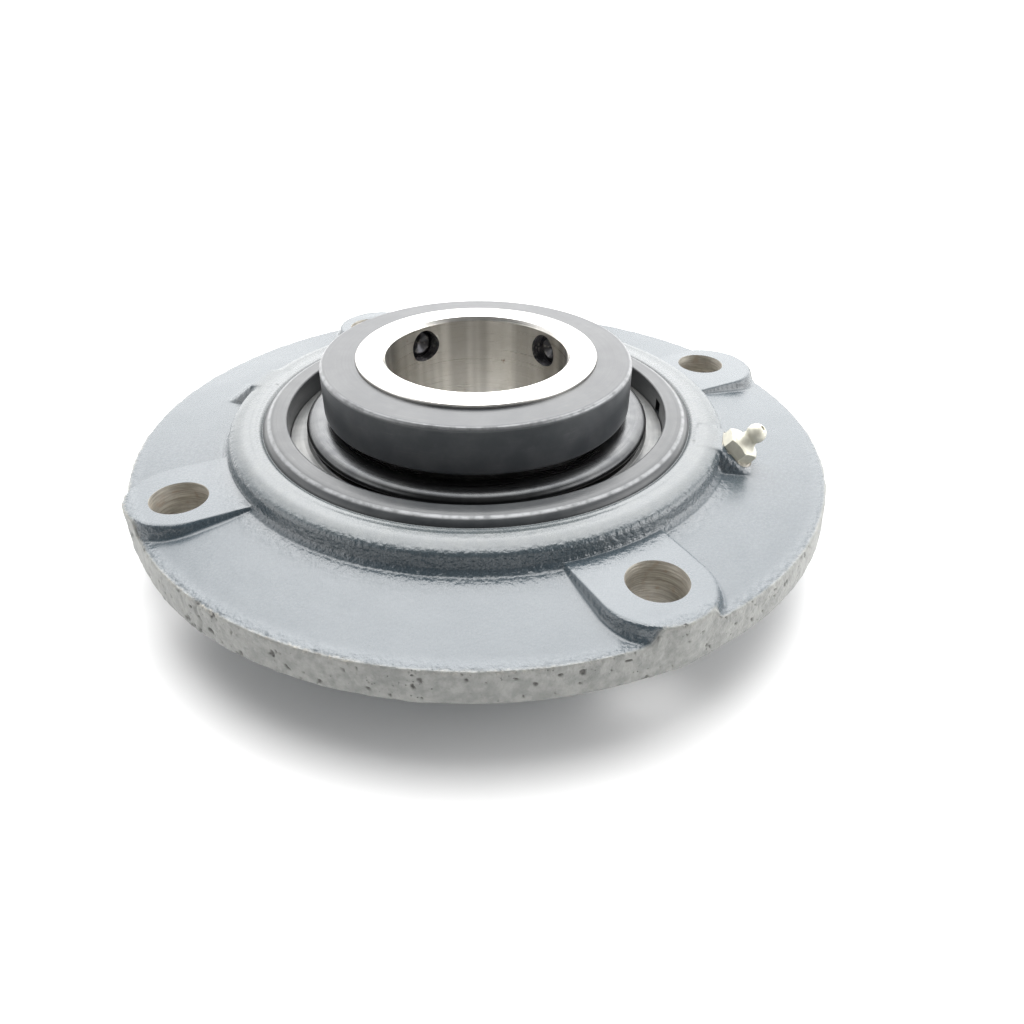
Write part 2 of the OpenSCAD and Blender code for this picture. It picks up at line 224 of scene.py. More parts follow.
def smooth_max(a, b, blend):
    """The larger of two, with the crease between them rounded over about blend millimetres."""
    return 0.5 * (a + b + np.sqrt((a - b) ** 2 + blend**2))


def smooth_step(low, high, x):
    t = np.clip((x - low) / (high - low), 0, 1)
    return t * t * (3 - 2 * t)


# ---------------------------------------------------------------- meshes
def add_object(name, mesh, sharp_angle=SHARP_ANGLE):
    """A smooth-shaded object with crisp edges where its faces meet at more than sharp_angle degrees."""
    mesh.shade_smooth()
    mesh.set_sharp_from_angle(angle=math.radians(sharp_angle))
    piece = bpy.data.objects.new(name, mesh)
    bpy.context.scene.collection.objects.link(piece)
    return piece


def skin(name, grid, closed=False, sharp_angle=SHARP_ANGLE, merge=1e-6):
    """A mesh over rows of points in millimetres, each row a loop. closed joins the last row to the first."""
    rows, columns = grid.shape[:2]
    index = np.arange(rows * columns).reshape(rows, columns)
    if closed:
        index = np.vstack([index, index[:1]])
    a = index[:-1]
    b = index[1:]
    faces = np.stack([a, np.roll(a, -1, 1), np.roll(b, -1, 1), b], -1).reshape(-1, 4)
    mesh = bpy.data.meshes.new(name)
    mesh.from_pydata((grid.reshape(-1, 3) * MM).tolist(), [], faces.tolist())
    work = bmesh.new()
    work.from_mesh(mesh)
    if merge:
        bmesh.ops.remove_doubles(work, verts=work.verts, dist=merge)
    bmesh.ops.recalc_face_normals(work, faces=work.faces)
    work.to_mesh(mesh)
    work.free()
    return add_object(name, mesh, sharp_angle)


def rounded(corners):
    """An outline through (r, z) or (r, z, rounding) corners. A rounding is an arc with short leads."""
    points = []
    count = len(corners)
    for i, corner in enumerate(corners):
        here = Vector(corner[:2])
        rounding = corner[2] if len(corner) > 2 else 0
        if not rounding:
            points.append(here)
            continue
        back = Vector(corners[i - 1][:2]) - here
        ahead = Vector(corners[(i + 1) % count][:2]) - here
        half = back.angle(ahead) / 2
        reach = min(rounding / math.tan(half), 0.45 * back.length, 0.45 * ahead.length)
        radius = reach * math.tan(half)
        back.normalize()
        ahead.normalize()
        centre = here + (back + ahead).normalized() * radius / math.sin(half)
        start = here + back * reach - centre
        end = here + ahead * reach - centre
        sweep = start.angle_signed(end)
        lead = min(0.15, 0.2 * reach)
        points.append(here + back * (reach + lead))
        for k in range(ARC_STEPS + 1):
            points.append(centre + Matrix.Rotation(-sweep * k / ARC_STEPS, 2) @ start)
        points.append(here + ahead * (reach + lead))
    return points


def refined(points):
    """The same closed outline with long stretches split, so that smooth shading stays flat along them."""
    result = []
    for a, b in zip(points, points[1:] + points[:1]):
        parts = max(1, math.ceil((b - a).length / LONGEST_STRETCH))
        result += [a.lerp(b, k / parts) for k in range(parts)]
    return result


def ring_grid(outline, segments):
    """Rows of points made by turning an outline round the bore's axis."""
    r = np.array([p[0] for p in outline])[:, None]
    z = np.array([p[1] for p in outline])[:, None]
    angle = np.linspace(0, 2 * math.pi, segments, endpoint=False)[None, :]
    return np.stack([r * np.cos(angle), r * np.sin(angle), z + 0 * angle], -1)


def turned(name, corners, segments=TURN_SEGMENTS):
    """A ring turned on a lathe from a closed outline."""
    return skin(name, ring_grid(refined(rounded(corners)), segments), closed=True)


def placed(piece, matrix):
    """Moves a piece's mesh by a matrix whose lengths are in millimetres."""
    matrix = matrix.copy()
    matrix.translation *= MM
    piece.data.transform(matrix)
    return piece


def carve(piece, *cutters):
    """Cuts the cutters out of the piece. Their materials carry over to the cut faces."""
    for cutter in cutters:
        cut = piece.modifiers.new("cut", "BOOLEAN")
        cut.operation = "DIFFERENCE"
        cut.solver = "EXACT"
        cut.material_mode = "TRANSFER"
        cut.object = cutter
    shape = bpy.data.meshes.new_from_object(piece.evaluated_get(bpy.context.evaluated_depsgraph_get()))
    piece.modifiers.clear()
    old = piece.data
    piece.data = shape
    bpy.data.meshes.remove(old)
    for cutter in cutters:
        old = cutter.data
        bpy.data.objects.remove(cutter)
        bpy.data.meshes.remove(old)
    shape.set_sharp_from_angle(angle=math.radians(SHARP_ANGLE))
    return piece


def rod(name, outline, segments):
    """A solid turned round its own Z axis from an open outline that starts and ends on the axis."""
    return skin(name, ring_grid(outline, segments))


def turn_about(degrees, axis):
    return Matrix.Rotation(math.radians(degrees), 4, axis)


def at_screw(degrees):
    return turn_about(degrees, "Z") @ Matrix.Translation((0, 0, SCREW_Z)) @ turn_about(90, "Y")


def at_fitting():
    place = turn_about(FITTING_TURN, "Z") @ Matrix.Translation((FITTING_R, 0, FITTING_Z))
    return place @ turn_about(FITTING_TILT, "Y") @ turn_about(HEXAGON_TURN, "Z")


def flipped(corners):
    """The same outline at the other end of the insert."""
    return [(c[0], 2 * MID_Z - c[1], *c[2:]) for c in reversed(corners)]


def finish_piece(piece, material, body, slot, *nodes):
    """Gives a piece its material, if one is given, hides the CAD nodes it replaces and ties it to the body
    it moves with.
    """
    if material is not None:
        piece.data.materials.clear()
        piece.data.materials.append(material)
    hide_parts(*nodes)
    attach(piece, body)
    return piece


# ---------------------------------------------------------------- material nodes
RANGE_SOCKETS = ("From Min", "From Max", "To Min", "To Max")


class Paint:
    """A node material under construction. Constants go straight on the shader's own sockets."""

    def __init__(self, name, **shader):
        self.material = bpy.data.materials.new(name)
        self.material.use_nodes = True
        self.tree = self.material.node_tree
        self.tree.nodes.clear()
        self.output = self.tree.nodes.new("ShaderNodeOutputMaterial")
        self.shader = self.tree.nodes.new("ShaderNodeBsdfPrincipled")
        self.tree.links.new(self.shader.outputs[0], self.output.inputs[0])
        for socket, value in shader.items():
            self.shader.inputs[socket.replace("_", " ")].default_value = value
        self.coordinates = self.tree.nodes.new("ShaderNodeTexCoord")
        self.place = self.math_vector("SCALE", self.coordinates.outputs["Object"], scale=1 / MM)

    def set(self, socket, value):
        if isinstance(value, bpy.types.NodeSocket):
            self.tree.links.new(value, socket)
        else:
            socket.default_value = value

    def math(self, operation, a, b=0.0):
        node = self.tree.nodes.new("ShaderNodeMath")
        node.operation = operation
        self.set(node.inputs[0], a)
        self.set(node.inputs[1], b)
        return node.outputs[0]

    def math_vector(self, operation, a, b=(0, 0, 0), scale=None):
        node = self.tree.nodes.new("ShaderNodeVectorMath")
        node.operation = operation
        self.set(node.inputs[0], a)
        self.set(node.inputs[1], b)
        if scale is not None:
            node.inputs["Scale"].default_value = scale
        return node.outputs["Value" if operation == "LENGTH" else "Vector"]

    def ramp(self, value, low, high, to_low=0.0, to_high=1.0):
        """value from low to high, mapped smoothly to to_low and to_high."""
        node = self.tree.nodes.new("ShaderNodeMapRange")
        node.interpolation_type = "SMOOTHSTEP"
        self.set(node.inputs["Value"], value)
        for socket, number in zip(RANGE_SOCKETS, (low, high, to_low, to_high)):
            self.set(node.inputs[socket], number)
        return node.outputs[0]

    def mix(self, amount, a, b):
        node = self.tree.nodes.new("ShaderNodeMix")
        node.data_type = "RGBA"
        node.clamp_factor = True
        self.set(node.inputs[0], amount)
        for socket, colour in ((node.inputs[6], a), (node.inputs[7], b)):
            self.set(socket, colour if isinstance(colour, bpy.types.NodeSocket) else (*colour, 1))
        return node.outputs[2]

    def noise(self, size, detail=3.0, roughness=0.55, vector=None, w=None, distortion=0.0):
        """Noise with features about size millimetres wide."""
        node = self.tree.nodes.new("ShaderNodeTexNoise")
        self.set(node.inputs["Vector"], vector or self.place)
        if w is not None:
            node.noise_dimensions = "4D"
            self.set(node.inputs["W"], w)
        node.inputs["Scale"].default_value = 1 / size
        node.inputs["Detail"].default_value = detail
        node.inputs["Roughness"].default_value = roughness
        node.inputs["Distortion"].default_value = distortion
        return node.outputs[0]

    def cells(self, size):
        """Distance to the middle of the nearest cell, with cells about size millimetres wide."""
        node = self.tree.nodes.new("ShaderNodeTexVoronoi")
        self.set(node.inputs["Vector"], self.place)
        node.inputs["Scale"].default_value = 1 / size
        return node.outputs["Distance"]

    def attribute(self, name):
        node = self.tree.nodes.new("ShaderNodeAttribute")
        node.attribute_name = name
        return node.outputs["Fac"]

    def radius(self):
        """Distance from the bore's axis, in millimetres."""
        return self.math_vector("LENGTH", self.math_vector("MULTIPLY", self.place, (1, 1, 0)))

    def height(self):
        node = self.tree.nodes.new("ShaderNodeSeparateXYZ")
        self.tree.links.new(self.place, node.inputs[0])
        return node.outputs[2]

    def turning(self, fineness, around=1.2):
        """Marks of a lathe tool: fine along the radius and the height, long around the axis."""
        flat = self.math_vector("MULTIPLY", self.place, (1, 1, 0))
        unit = self.math_vector("SCALE", self.math_vector("NORMALIZE", flat), scale=around)
        node = self.tree.nodes.new("ShaderNodeCombineXYZ")
        self.tree.links.new(self.math("DIVIDE", self.radius(), fineness), node.inputs[2])
        along = self.math_vector("ADD", unit, node.outputs[0])
        return self.noise(1.0, 4.0, 0.6, along, self.math("DIVIDE", self.height(), fineness))

    def bump(self, *layers):
        """Adds (height, depth in millimetres) layers of relief."""
        normal = None
        for value, depth in layers:
            node = self.tree.nodes.new("ShaderNodeBump")
            node.inputs["Strength"].default_value = 1.0
            node.inputs["Distance"].default_value = depth * MM
            self.set(node.inputs["Height"], value)
            if normal is not None:
                self.tree.links.new(normal, node.inputs["Normal"])
            normal = node.outputs[0]
        self.tree.links.new(normal, self.shader.inputs["Normal"])

    def colour(self, value):
        self.set(self.shader.inputs["Base Color"], value)

    def rough(self, value):
        self.set(self.shader.inputs["Roughness"], value)

    def metal(self, value):
        self.set(self.shader.inputs["Metallic"], value)

    def brushed_round(self):
        """Highlights stretch round the bore's axis."""
        node = self.tree.nodes.new("ShaderNodeTangent")
        node.direction_type = "RADIAL"
        node.axis = "Z"
        self.tree.links.new(node.outputs[0], self.shader.inputs["Tangent"])


def painted_iron():
    """Slate paint over sand-cast iron: thin and warm on the nose, rough on the rim, worn at edges."""
    p = Paint("painted_iron", IOR=1.65)
    rim = p.attribute("rim")
    edge = p.attribute("edge")
    nose = p.attribute("nose")
    grain = p.attribute("grain")
    pit = p.attribute("pit")
    clouds = p.noise(18.0, 4.0, 0.6)
    mottle = p.noise(3.2, 4.0, 0.62)
    fine = p.noise(0.7, 3.0, 0.6)
    slate = p.mix(p.ramp(clouds, 0.3, 0.7), (0.036, 0.052, 0.064), (0.048, 0.064, 0.076))
    slate = p.mix(p.math("MULTIPLY", p.ramp(mottle, 0.55, 0.75), 0.3), slate, (0.07, 0.084, 0.09))
    warm = p.mix(p.ramp(mottle, 0.35, 0.7), (0.048, 0.060, 0.066), (0.066, 0.077, 0.079))
    colour = p.mix(nose, slate, warm)
    cast = p.mix(p.ramp(mottle, 0.3, 0.7), (0.16, 0.165, 0.157), (0.245, 0.248, 0.235))
    colour = p.mix(rim, colour, cast)
    bare = p.mix(p.ramp(fine, 0.4, 0.65), (0.12, 0.11, 0.095), (0.42, 0.39, 0.33))
    colour = p.mix(p.math("MULTIPLY", edge, p.ramp(p.noise(1.3, 3.0, 0.6), 0.42, 0.62)), colour, bare)
    colour = p.mix(pit, colour, (0.06, 0.058, 0.053))
    specks = p.math("MULTIPLY", p.ramp(p.cells(1.7), 0.17, 0.08), p.ramp(p.noise(5.0, 2.0), 0.45, 0.6))
    specks = p.math("MULTIPLY", specks, p.math("ADD", p.math("MULTIPLY", rim, 0.85), 0.05))
    colour = p.mix(specks, colour, (0.055, 0.055, 0.053))
    p.colour(colour)
    p.rough(p.math("ADD", p.ramp(fine, 0.3, 0.7, 0.22, 0.32), p.math("MULTIPLY", rim, 0.28)))
    peel = p.noise(1.6, 2.0, 0.5)
    sand = p.math("MULTIPLY", p.noise(1.7, 2.0, 0.6), grain)
    p.bump((peel, 0.04), (sand, 0.55), (specks, -0.25))
    return p.material


def drilled_wall():
    """Grey-brown wall of a drilled hole, with rings left by the drill."""
    p = Paint("drilled_wall", Metallic=0.4)
    rings = p.noise(0.55, 3.0, 0.6, p.math_vector("MULTIPLY", p.place, (0.06, 0.06, 1.0)))
    rust = p.noise(2.4, 4.0, 0.6)
    colour = p.mix(p.ramp(rings, 0.35, 0.7), (0.27, 0.25, 0.215), (0.50, 0.475, 0.42))
    p.colour(p.mix(p.math("MULTIPLY", p.ramp(rust, 0.5, 0.75), 0.5), colour, (0.30, 0.215, 0.15)))
    p.rough(p.ramp(rust, 0.3, 0.7, 0.34, 0.55))
    p.bump((rings, 0.16), (p.noise(0.5), 0.03))
    return p.material


def black_oxide(name, dark, light, marks, roughness, corner, ior):
    """Black oxide over turned steel, rubbed bright in places, with a bright bare-metal line along the corner
    at (radius, height) that is partly rubbed wear and partly a painted highlight.
    """
    p = Paint(name, Metallic=0.0, IOR=ior, Anisotropic=0.1)
    lines = p.turning(marks)
    rub = p.noise(9.0, 4.0, 0.6)
    streak = p.math("MULTIPLY", p.ramp(p.turning(marks * 2, 5.0), 0.55, 0.75), p.ramp(rub, 0.4, 0.65))
    colour = p.mix(p.ramp(rub, 0.3, 0.75), dark, light)
    colour = p.mix(p.math("MULTIPLY", streak, 0.45), colour, (0.12, 0.12, 0.118))
    # Bare metal along the corner: partly rubbed wear, partly a painted highlight standing in for the bright
    # line of light along this edge.
    across = p.math("ABSOLUTE", p.math("SUBTRACT", p.radius(), corner[0]))
    down = p.math("ABSOLUTE", p.math("SUBTRACT", p.height(), corner[1]))
    away = p.math("MAXIMUM", across, down)
    worn = p.math("MULTIPLY", p.ramp(away, 0.9, 0.25), p.ramp(p.noise(2.5, 4.0), 0.3, 0.6, 0.35, 0.8))
    p.metal(p.math("MULTIPLY", worn, 0.75))
    p.colour(p.mix(worn, colour, (0.27, 0.275, 0.28)))
    p.rough(p.ramp(lines, 0.3, 0.75, roughness, roughness + 0.12))
    p.bump((lines, 0.0025), (p.noise(0.6, 2.0), 0.003))
    p.brushed_round()
    return p.material


def ground_steel():
    """Bright ground bearing steel with a faint bloom of rust, and dark bands of painted reflection running
    down the bore.
    """
    p = Paint("ground_steel", Metallic=1.0, Anisotropic=0.2)
    lines = p.turning(0.22, 0.8)
    cloud = p.noise(7.0, 4.0, 0.6)
    honed = p.ramp(p.radius(), BORE_R + 0.8, BORE_R + 0.2)
    face = p.mix(p.ramp(cloud, 0.3, 0.7), (0.60, 0.585, 0.555), (0.72, 0.705, 0.675))
    bore = p.mix(p.ramp(cloud, 0.3, 0.7), (0.72, 0.70, 0.66), (0.80, 0.785, 0.75))
    # Painted reflection: dark vertical bands down the bore, standing in for dark parts of the surroundings
    # mirrored in the ground wall.
    along = p.noise(7.0, 1.5, 0.5, p.math_vector("MULTIPLY", p.place, (1, 1, 0.02)))
    bore = p.mix(p.ramp(along, 0.38, 0.60, 0.5, 0.0), bore, (0.30, 0.29, 0.275))
    colour = p.mix(honed, face, bore)
    bloom = p.math("MULTIPLY", p.ramp(p.noise(5.5, 5.0, 0.65), 0.63, 0.74), p.ramp(p.noise(1.2), 0.4, 0.6))
    p.colour(p.mix(p.math("MULTIPLY", bloom, 0.75), colour, (0.20, 0.085, 0.04)))
    p.rough(p.ramp(lines, 0.3, 0.7, 0.26, 0.36))
    p.bump((lines, 0.002))
    p.brushed_round()
    return p.material


def polished_ball():
    """Mirror-finished bearing ball with hair-fine scratches."""
    p = Paint("polished_ball", Metallic=1.0)
    scratch = p.ramp(p.noise(0.5, 2.0, 0.5, distortion=4.0), 0.46, 0.5)
    p.colour(p.mix(p.ramp(p.noise(4.0), 0.3, 0.7), (0.74, 0.75, 0.77), (0.82, 0.83, 0.84)))
    p.rough(p.ramp(scratch, 0.0, 1.0, 0.05, 0.12))
    p.bump((scratch, 0.0006))
    return p.material


def pressed_steel(name, dark, light, roughness):
    """Pressed sheet steel with rolling marks and a thin film of grease."""
    p = Paint(name, Metallic=1.0, Coat_Weight=0.15, Coat_Roughness=0.3)
    marks = p.turning(0.6, 1.6)
    cloud = p.noise(6.0, 4.0, 0.6)
    p.colour(p.mix(p.ramp(cloud, 0.3, 0.7), dark, light))
    p.rough(p.ramp(marks, 0.3, 0.7, roughness, roughness + 0.14))
    p.bump((marks, 0.008), (p.noise(0.8, 3.0), 0.006))
    return p.material


def seal_rubber():
    """Moulded nitrile rubber, matt and slightly dusty."""
    p = Paint("seal_rubber", IOR=1.52)
    dust = p.noise(2.0, 4.0, 0.65)
    p.colour(p.mix(p.ramp(dust, 0.4, 0.75), (0.018, 0.018, 0.019), (0.05, 0.048, 0.045)))
    p.rough(p.ramp(dust, 0.3, 0.7, 0.55, 0.75))
    p.bump((p.noise(0.35, 3.0), 0.01))
    return p.material


def black_screw():
    """Black alloy steel, lightly oiled, with crests rubbed to bare metal."""
    p = Paint("black_screw", Metallic=1.0, Coat_Weight=0.25, Coat_Roughness=0.2)
    rub = p.noise(1.6, 4.0, 0.6)
    p.colour(p.mix(p.ramp(rub, 0.5, 0.75), (0.055, 0.055, 0.06), (0.24, 0.23, 0.22)))
    p.rough(p.ramp(rub, 0.3, 0.7, 0.28, 0.46))
    p.bump((p.noise(0.4, 3.0), 0.008))
    return p.material


def zinc_plate():
    """Pale yellowish zinc plating, softly dulled."""
    p = Paint("zinc_plate", Metallic=0.25)
    bloom = p.noise(2.2, 4.0, 0.6)
    p.colour(p.mix(p.ramp(bloom, 0.35, 0.7), (0.50, 0.485, 0.41), (0.60, 0.585, 0.50)))
    p.rough(p.ramp(bloom, 0.3, 0.7, 0.36, 0.5))
    p.bump((p.noise(0.5, 3.0), 0.01))
    return p.material


def pale_floor():
    """Seamless pale studio floor."""
    p = Paint("pale_floor", IOR=1.4)
    p.colour(p.mix(p.noise(220.0, 2.0), (0.80, 0.80, 0.80), (0.83, 0.83, 0.825)))
    p.rough(p.ramp(p.noise(30.0), 0.3, 0.7, 0.55, 0.65))
    return p.material


# ---------------------------------------------------------------- housing
def hub_profile():
    """Front outline of the turned body, as rising radii and their heights."""
    r = [NOSE_BORE_R - 1.2, NOSE_BORE_R, NOSE_BORE_R + 1.8, NOSE_BORE_R + 2.2]
    z = [HUB_Z - 1.2, HUB_Z - 0.12, HUB_Z - 0.12, HUB_Z]
    radii = np.linspace(SHOULDER[0][0], SHOULDER[-1][0], 40)
    fall = np.tan(np.radians(np.interp(radii, *zip(*SHOULDER))))
    for i in range(1, len(radii)):
        r.append(radii[i])
        z.append(z[-1] - (fall[i] + fall[i - 1]) / 2 * (radii[i] - radii[i - 1]))
    for angle in np.radians(np.linspace(200, 270, 24)):
        r.append(FOOT_R + FOOT_FILLET * math.cos(angle))
        z.append(FOOT_Z + FOOT_FILLET + FOOT_FILLET * math.sin(angle))
    r.append(RIM_R + 4)
    z.append(FOOT_Z + (RIM_Z - FOOT_Z) * (RIM_R + 4 - FOOT_R) / (RIM_R - FOOT_R))
    return r, z


def pad_turns():
    """Directions of the cast pads, in radians."""
    return [math.radians(BOLT_TURN - PAD_SHIFT + i * BOLT_STEP) for i in range(BOLT_COUNT)]


def pad_places(r, angle):
    """Position along and across each cast pad, measured from the casting's own centre."""
    x = r * np.cos(angle) - CAST_OFFSET
    y = r * np.sin(angle)
    for turn in pad_turns():
        yield x * math.cos(turn) + y * math.sin(turn), y * math.cos(turn) - x * math.sin(turn)


def falling(distance, slope, soft=0.22):
    """Drop beyond an outline: nothing inside it, then a steep wall with a rounded brink."""
    return slope * soft * np.logaddexp(0, distance / soft)


def front_height(r, angle):
    """Height of the casting's front over (r, angle): hub, flange, bolt pads and the two bosses."""
    z = np.interp(r, *hub_profile())
    for x, y in pad_places(r, angle):
        outside = np.hypot(x - np.clip(x, NOSE_R, BOLT_R), y) - PAD_HALF
        drop = PAD_Z - z
        fillet = PAD_FILLET * smooth_step(0.8, 2.4, drop)
        start = fillet * math.tan(WALL_LEAN / 2) + drop / WALL_SLOPE
        near = np.clip(start - outside, 0, fillet * math.sin(WALL_LEAN))
        foot = z + fillet - np.sqrt(np.maximum(fillet**2 - near**2, 0))
        z = smooth_max(foot, PAD_Z - falling(outside, WALL_SLOPE), 0.3)
    for extra in (0, 180):
        turn = angle - math.radians(FITTING_TURN + extra)
        x = r * np.cos(turn)
        y = r * np.sin(turn)
        slant = FITTING_Z - (x - FITTING_R) * math.tan(math.radians(FITTING_TILT))
        boss = np.minimum(BOSS_TOP_Z, slant) - falling(np.abs(y) - BOSS_HALF, 2.6, 0.5)
        z = np.where(x > NOSE_R - 4, smooth_max(z, boss, 0.9), z)
    return z


def pad_reach(angle):
    """How far out each pad's round end reaches, or nothing where there is no pad."""
    reach = np.zeros_like(angle)
    for turn in pad_turns():
        centre = complex(BOLT_R * math.cos(turn) + CAST_OFFSET, BOLT_R * math.sin(turn))
        across = abs(centre) * np.sin(angle - np.angle(centre))
        along = abs(centre) * np.cos(angle - np.angle(centre))
        square = PAD_HALF**2 - across**2
        here = np.where((square > 0) & (along > 0), along + np.sqrt(np.maximum(square, 0)), 0)
        reach = np.maximum(reach, here)
    return reach


def side_radius(z, angle):
    """Radius of the flange's side, with casting draft."""
    rim = RIM_R + CAST_OFFSET * np.cos(angle) + RIM_DRAFT * (1 - z / RIM_Z)
    return smooth_max(rim, pad_reach(angle), 0.5)


def housing_rows(angle):
    """Rows (r, z) of the closed outline at every angle: seat, front, rim, back and pilot."""
    rows = []
    brink = side_radius(RIM_Z, angle)
    nose = np.linspace(NOSE_BORE_R - 0.95, NOSE_R, 12)
    for r in np.concatenate([nose, np.linspace(NOSE_R, FOOT_R, 30)[1:]]):
        rows.append((r + 0 * angle, front_height(r + 0 * angle, angle)))
    count = int((RIM_R - FOOT_R) / ROW_STEP)
    for k in range(1, count + 1):
        r = FOOT_R + (brink - RIM_ROUND - FOOT_R) * k / count
        rows.append((r, front_height(r, angle)))
    top = rows[-1][1] - RIM_ROUND
    for turn in np.radians((25, 50, 75, 90)):
        rows.append((brink - RIM_ROUND + RIM_ROUND * math.sin(turn), top + RIM_ROUND * math.cos(turn)))
    low = BACK_Z + BACK_ROUND
    for k in range(1, 24):
        z = top + (low - top) * k / 24
        rows.append((side_radius(z, angle), z))
    back = side_radius(low, angle) - BACK_ROUND
    for turn in np.radians((0, 30, 60, 90)):
        rows.append((back + BACK_ROUND * math.cos(turn), low - BACK_ROUND * math.sin(turn)))
    for k in range(1, 13):
        rows.append((back + (PILOT_R + 1.2 - back) * k / 12, BACK_Z + 0 * angle))
    pilot = [(PILOT_R + 0.5, BACK_Z), (PILOT_R + 0.1, BACK_Z - 0.15), (PILOT_R, BACK_Z - 0.5)]
    pilot += [(PILOT_R, z) for z in np.linspace(BACK_Z - 1.5, PILOT_Z + PILOT_ROUND, 10)]
    pilot += [(PILOT_R - 0.1, PILOT_Z + 0.9), (PILOT_R - 0.9, PILOT_Z + 0.1)]
    pilot += [(PILOT_R - PILOT_ROUND, PILOT_Z)]
    rows += [(r + 0 * angle, z + 0 * angle) for r, z in pilot]
    return rows + seat_rows(angle)


def seat_rows(angle):
    """The ball-shaped seat, with the two loading slots that open at the back."""
    half = math.asin(SLOT_HALF / SLOT_R)
    in_slot = np.minimum(np.abs(angle - math.pi / 2), np.abs(angle - 3 * math.pi / 2)) < half
    back = np.linspace(PILOT_Z, MID_Z, 18)
    rows = []
    for i, z in enumerate(np.concatenate([back, np.linspace(MID_Z, HUB_Z - 0.9, 14)])):
        seat = math.sqrt(SEAT_R**2 - (z - MID_Z) ** 2)
        r = np.where(in_slot & (i < len(back)), SLOT_R, seat)
        rows.append((r, z + 0 * angle))
    start = rows[0][0]
    outer = PILOT_R - PILOT_ROUND
    return [(outer + (start - outer) * k / 4, PILOT_Z + 0 * angle) for k in (1, 2, 3)] + rows


def casting_relief(points, masks):
    """How far each point of the casting moves along its normal, in millimetres."""
    waves = layered_noise(points, 34.0, 11, 3) * 0.16 + layered_noise(points, 7.0, 23, 3) * 0.05
    sand = layered_noise(points, 2.6, 31, 3)
    lumps = layered_noise(points, 5.5, 47, 3)
    pits = -masks["pit"] * 0.4
    rough = masks["rim"] * (sand * 0.13 + lumps * 0.16) + masks["grain"] * sand * 0.07
    chips = -masks["edge"] * np.clip(layered_noise(points, 2.2, 71, 3) * 1.1 + 0.1, 0, 1) * 0.45
    return (waves + rough + pits + chips) * masks["cast"]


def casting_masks(points, r, z, angle):
    """Where the casting is machined, rough, worn or pitted, from 0 to 1 at each point."""
    side = r - np.minimum(side_radius(z, angle), side_radius(RIM_Z, angle))
    side = smooth_step(-0.9, -0.2, side) * (z > BACK_Z + 0.05)
    front = (z > BACK_Z + 0.3) & (r > NOSE_BORE_R + 2.4)
    top = front_height(r, angle)
    brink = np.exp(-(((z - top) / 0.8) ** 2)) * smooth_step(-1.6, -0.4, r - side_radius(z, angle))
    worn = 0.35 + 0.65 * smooth_step(-0.2, 0.5, np.cos(angle - math.radians(CHIPPED_TURN)) - 0.75)
    edge = np.clip(brink * worn * (0.6 + 0.8 * layered_noise(points, 9.0, 5, 2)), 0, 1)
    cells = value_noise(points, 1.0, 83) * 0.6 + value_noise(points, 1.9, 89) * 0.5
    pit = side * smooth_step(0.54, 0.68, cells)
    inset = RIM_R + CAST_OFFSET * np.cos(angle) - r
    foot = 0.5 * np.exp(-(((r - 89.5) / 3.2) ** 2)) + 0.8 * np.exp(-(((inset - 1.2) / 2.0) ** 2))
    facing = 0.35 + 0.65 * smooth_step(-0.3, 0.9, -np.sin(angle))
    rise = np.abs(np.gradient(z, axis=0))
    slope = rise / np.maximum(np.hypot(np.gradient(r, axis=0), rise), 1e-6)
    steep = smooth_step(0.25, 0.7, slope) * smooth_step(0.5, 2.5, inset)
    grain = np.clip(foot * facing + 0.75 * steep + 0.35 * side, 0, 1) * front
    nose = smooth_step(86.5, 82.0, r) * (z > HUB_Z - 8)
    cast = front.astype(float)
    return {"cast": cast, "rim": side, "edge": edge * front, "pit": pit, "grain": grain, "nose": nose}


def surface_normals(grid):
    """Outward normals of a grid of points that closes both ways."""
    along = np.roll(grid, -1, 0) - np.roll(grid, 1, 0)
    around = np.roll(grid, -1, 1) - np.roll(grid, 1, 1)
    normal = np.cross(along, around)
    return normal / np.maximum(np.linalg.norm(normal, axis=-1, keepdims=True), 1e-9)


def build_housing():
    """The casting, displaced like sand-cast iron, with its drilled holes cut last."""
    angle = np.linspace(0, 2 * math.pi, COLUMNS, endpoint=False)
    rows = housing_rows(angle)
    r = np.array([row[0] + 0 * angle for row in rows])
    z = np.array([row[1] + 0 * angle for row in rows])
    angle = np.broadcast_to(angle, r.shape)
    grid = np.stack([r * np.cos(angle), r * np.sin(angle), z], -1)
    masks = casting_masks(grid, r, z, angle)
    normal = surface_normals(grid)
    across = (angle - math.radians(CRACK_TURN % 360)) * RIM_R
    crack = np.exp(-(((across + 0.12 * (z - RIM_Z) + 0.5 * np.sin(z)) / 0.55) ** 2)) * masks["rim"] * 0.5
    grid = grid + normal * (casting_relief(grid, masks) - crack)[..., None]
    piece = skin("housing_casting", grid, closed=True, merge=0, sharp_angle=50)
    for name, mask in masks.items():
        layer = piece.data.attributes.new(name, "FLOAT", "POINT")
        layer.data.foreach_set("value", mask.astype(np.float32).ravel())
    piece.data.materials.append(painted_iron())
    bolt_hole = [
        (0, -2), (BOLT_HOLE_R, -2), (BOLT_HOLE_R, PAD_Z - 0.2), (BOLT_HOLE_R + 0.25, PAD_Z + 0.15),
        (BOLT_HOLE_R + 2, PAD_Z + 3), (0, PAD_Z + 3),
    ]
    cutters = []
    for i in range(BOLT_COUNT):
        place = turn_about(BOLT_TURN + i * BOLT_STEP, "Z") @ Matrix.Translation((BOLT_R, 0, 0))
        cutters.append(placed(rod("bolt_hole", bolt_hole, 96), place))
    spot_face = [(0, -9), (5.15, -9), (5.15, 0), (7.2, 0), (7.6, 6), (0, 6)]
    cutters.append(placed(rod("spot_face", spot_face, 72), at_fitting()))
    wall = drilled_wall()
    for cutter in cutters:
        cutter.data.materials.append(wall)
    carve(piece, *cutters)
    finish_piece(piece, None, "housing", "cast_iron_paint", "housing")


